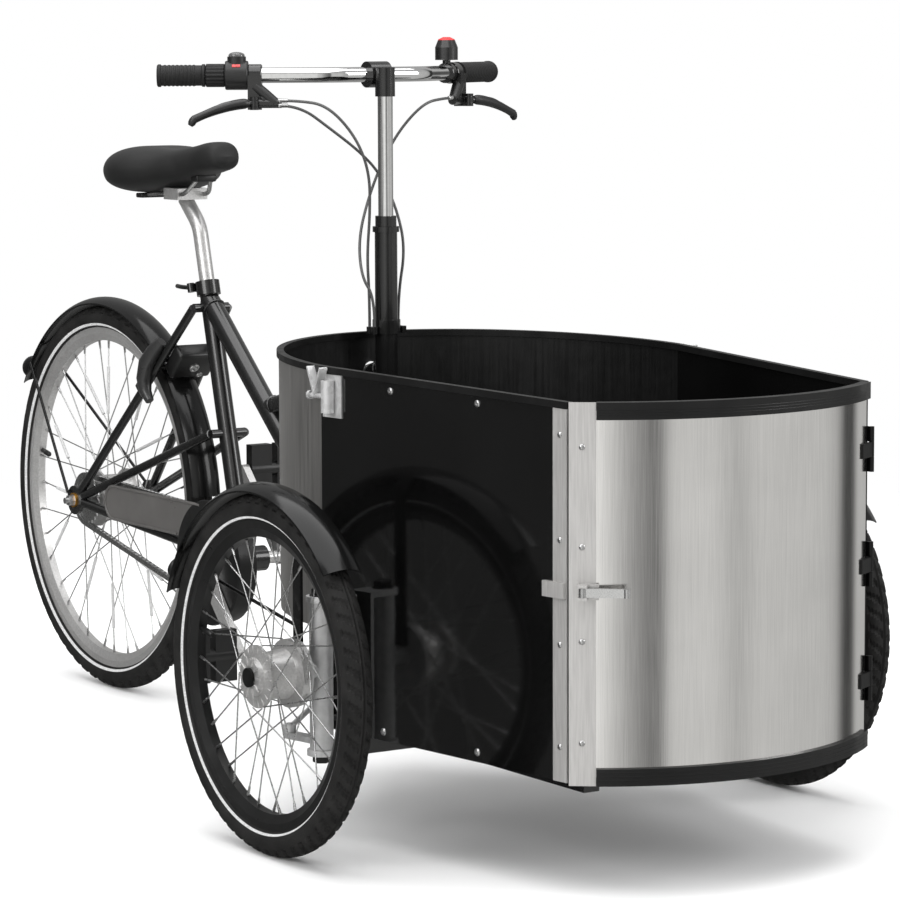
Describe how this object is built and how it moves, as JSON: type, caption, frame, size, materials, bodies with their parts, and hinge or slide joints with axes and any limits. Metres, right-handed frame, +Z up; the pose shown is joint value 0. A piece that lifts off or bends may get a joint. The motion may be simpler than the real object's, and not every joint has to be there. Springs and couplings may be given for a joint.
{
  "type": "cargo tricycle",
  "caption": "Cargo tricycle with a rounded loading box between steered front wheels, an opening front door, chain drive to the rear wheel and an adjustable saddle",
  "frame": {"origin": "on the ground under the middle of the overall length and width", "axes": "+X forward, +Y to the rider's left, +Z up"},
  "size_m": [2.0944, 0.9186, 1.0813],
  "materials": {
    "black_paint": "gloss",
    "black_gloss_panel": "gloss",
    "brushed_aluminium": "brushed",
    "satin_aluminium": "satin",
    "bare_aluminium": "satin",
    "galvanised": "satin",
    "black_profile": "satin",
    "box_lining": "satin",
    "tyre_black": "matte",
    "rim_black": "satin",
    "steel": "satin",
    "chrome": "polished",
    "saddle_cover": "matte",
    "grip_rubber": "matte",
    "black_plastic": "satin",
    "bell_black": "gloss",
    "cable_sheath": "satin",
    "grey_cover": "satin",
    "lock_grey": "satin"
  },
  "bodies": {
    "frame": {"main_frame": "black_paint", "undercarriage": "black_paint", "rear_stays": "black_paint", "kingpin_brackets": "galvanised", "box_floor": "box_lining", "side_panel_left": "black_gloss_panel", "side_panel_right": "black_gloss_panel", "rear_panel": "satin_aluminium", "top_rim": "black_profile", "corner_strips": "bare_aluminium", "canopy_brackets": "galvanised", "headset": "black_paint", "seat_clamp": "black_paint", "rear_mudguard": "black_paint", "chain_cover": "grey_cover", "chain": "steel", "frame_lock": "lock_grey", "rear_axle": "steel"},
    "steering": {"steering_column": "black_paint", "stem": "chrome", "handlebar_clamp": "black_paint", "handlebar": "chrome", "grips": "grip_rubber", "shifter_body": "black_plastic", "bar_clamps": "black_paint", "control_cables": "cable_sheath"},
    "shifter": {"shifter_sleeve": "black_plastic"},
    "lever_left": {"brake_lever_left": "black_paint"},
    "lever_right": {"brake_lever_right": "black_paint"},
    "bell_cover": {"bell": "bell_black"},
    "wheel_rear": {"rear_tyre": "tyre_black", "rear_rim": "bare_aluminium", "rear_spokes": "steel", "rear_hub": "bare_aluminium"},
    "rear_sprocket": {"sprocket": "steel"},
    "cranks": {"crankset": "bare_aluminium"},
    "left_pedal": {"pedal_left": "black_plastic"},
    "right_pedal": {"pedal_right": "black_plastic"},
    "door": {"door_skin": "brushed_aluminium", "door_profiles": "black_profile", "door_trim": "bare_aluminium"},
    "latch": {"latch_lever": "steel"},
    "seat": {"seat_post": "bare_aluminium", "saddle_rails": "steel", "saddle": "saddle_cover"},
    "seat_clamp_lever": {"clamp_lever": "black_paint"},
    "steer_left": {"knuckle_left": "galvanised", "front_mudguard_left": "black_paint"},
    "wheel_front_left": {"front_tyre_left": "tyre_black", "front_rim_left": "rim_black", "front_spokes_left": "steel", "front_hub_left": "bare_aluminium"},
    "link_left": {"tie_rod_left": "galvanised"},
    "steer_right": {"knuckle_right": "galvanised", "front_mudguard_right": "black_paint"},
    "wheel_front_right": {"front_tyre_right": "tyre_black", "front_rim_right": "rim_black", "front_spokes_right": "steel", "front_hub_right": "bare_aluminium"},
    "link_right": {"tie_rod_right": "galvanised"}
  },
  "joints": [
    {"name": "steer", "type": "hinge", "parent": "frame", "child": "steering", "pos_m": [0.14025, 0, 0.8], "axis": [0, 0, 1], "range_deg": [-27, 27]},
    {"name": "kingpin_left", "type": "hinge", "parent": "frame", "child": "steer_left", "pos_m": [0.52525, 0.345, 0.243], "axis": [0, 0, 1], "range_deg": [-27, 27]},
    {"name": "link_pivot_left", "type": "hinge", "parent": "steering", "child": "link_left", "pos_m": [0.07525, 0.012, 0.1496], "axis": [0, 0, 1], "range_deg": [-27, 27]},
    {"name": "front_spin_left", "type": "hinge", "parent": "steer_left", "child": "wheel_front_left", "pos_m": [0.52525, 0.425, 0.243], "axis": [0, 1, 0], "continuous": true},
    {"name": "kingpin_right", "type": "hinge", "parent": "frame", "child": "steer_right", "pos_m": [0.52525, -0.345, 0.243], "axis": [0, 0, 1], "range_deg": [-27, 27]},
    {"name": "link_pivot_right", "type": "hinge", "parent": "steering", "child": "link_right", "pos_m": [0.07525, -0.012, 0.1496], "axis": [0, 0, 1], "range_deg": [-27, 27]},
    {"name": "front_spin_right", "type": "hinge", "parent": "steer_right", "child": "wheel_front_right", "pos_m": [0.52525, -0.425, 0.243], "axis": [0, 1, 0], "continuous": true},
    {"name": "rear_spin", "type": "hinge", "parent": "frame", "child": "wheel_rear", "pos_m": [-0.72775, 0, 0.3195], "axis": [0, 1, 0], "continuous": true},
    {"name": "crank_spin", "type": "hinge", "parent": "frame", "child": "cranks", "pos_m": [-0.28475, 0, 0.267], "axis": [0, 1, 0], "continuous": true},
    {"name": "sprocket_spin", "type": "hinge", "parent": "frame", "child": "rear_sprocket", "pos_m": [-0.72775, 0, 0.3195], "axis": [0, 1, 0], "continuous": true},
    {"name": "pedal_spin_left", "type": "hinge", "parent": "cranks", "child": "left_pedal", "pos_m": [-0.3996, 0, 0.39234], "axis": [0, 1, 0], "continuous": true},
    {"name": "brake_lever_left", "type": "hinge", "parent": "steering", "child": "lever_left", "pos_m": [0.077, 0.18662, 0.988], "axis": [0, 0, 1], "range_deg": [0, 20], "stiffness_Nm_per_rad": 2},
    {"name": "pedal_spin_right", "type": "hinge", "parent": "cranks", "child": "right_pedal", "pos_m": [-0.1699, 0, 0.14166], "axis": [0, 1, 0], "continuous": true},
    {"name": "brake_lever_right", "type": "hinge", "parent": "steering", "child": "lever_right", "pos_m": [0.07896, -0.1836, 0.988], "axis": [0, 0, -1], "range_deg": [0, 20], "stiffness_Nm_per_rad": 2},
    {"name": "shifter_twist", "type": "hinge", "parent": "steering", "child": "shifter", "pos_m": [0.02424, -0.21635, 1.028], "axis": [-0.5455, -0.8381, 0], "range_deg": [0, 75]},
    {"name": "bell_twist", "type": "hinge", "parent": "steering", "child": "bell_cover", "pos_m": [0.0639, 0.15542, 1.028], "axis": [0, 0, 1], "range_deg": [0, 60], "stiffness_Nm_per_rad": 0.05},
    {"name": "door_hinge", "type": "hinge", "parent": "frame", "child": "door", "pos_m": [0.95725, 0.244, 0.39], "axis": [0, 0, 1], "range_deg": [0, 110]},
    {"name": "latch_lever", "type": "hinge", "parent": "door", "child": "latch", "pos_m": [0.97669, -0.23347, 0.384], "axis": [0, 0, -1], "range_deg": [0, 120]},
    {"name": "seat_height", "type": "slide", "parent": "frame", "child": "seat", "axis": [-0.2506, 0, 0.9681], "range_m": [-0.055, 0.08]},
    {"name": "clamp_lever", "type": "hinge", "parent": "frame", "child": "seat_clamp_lever", "pos_m": [-0.416, -0.0183, 0.68716], "axis": [-0.2506, 0, 0.9681], "range_deg": [0, 150]}
  ],
  "couplings": [
    {"joint": "kingpin_left", "follows": "steer", "ratio": 1},
    {"joint": "link_pivot_left", "follows": "steer", "ratio": -1},
    {"joint": "kingpin_right", "follows": "steer", "ratio": 1},
    {"joint": "link_pivot_right", "follows": "steer", "ratio": -1},
    {"joint": "sprocket_spin", "follows": "crank_spin", "ratio": 1.9}
  ]
}
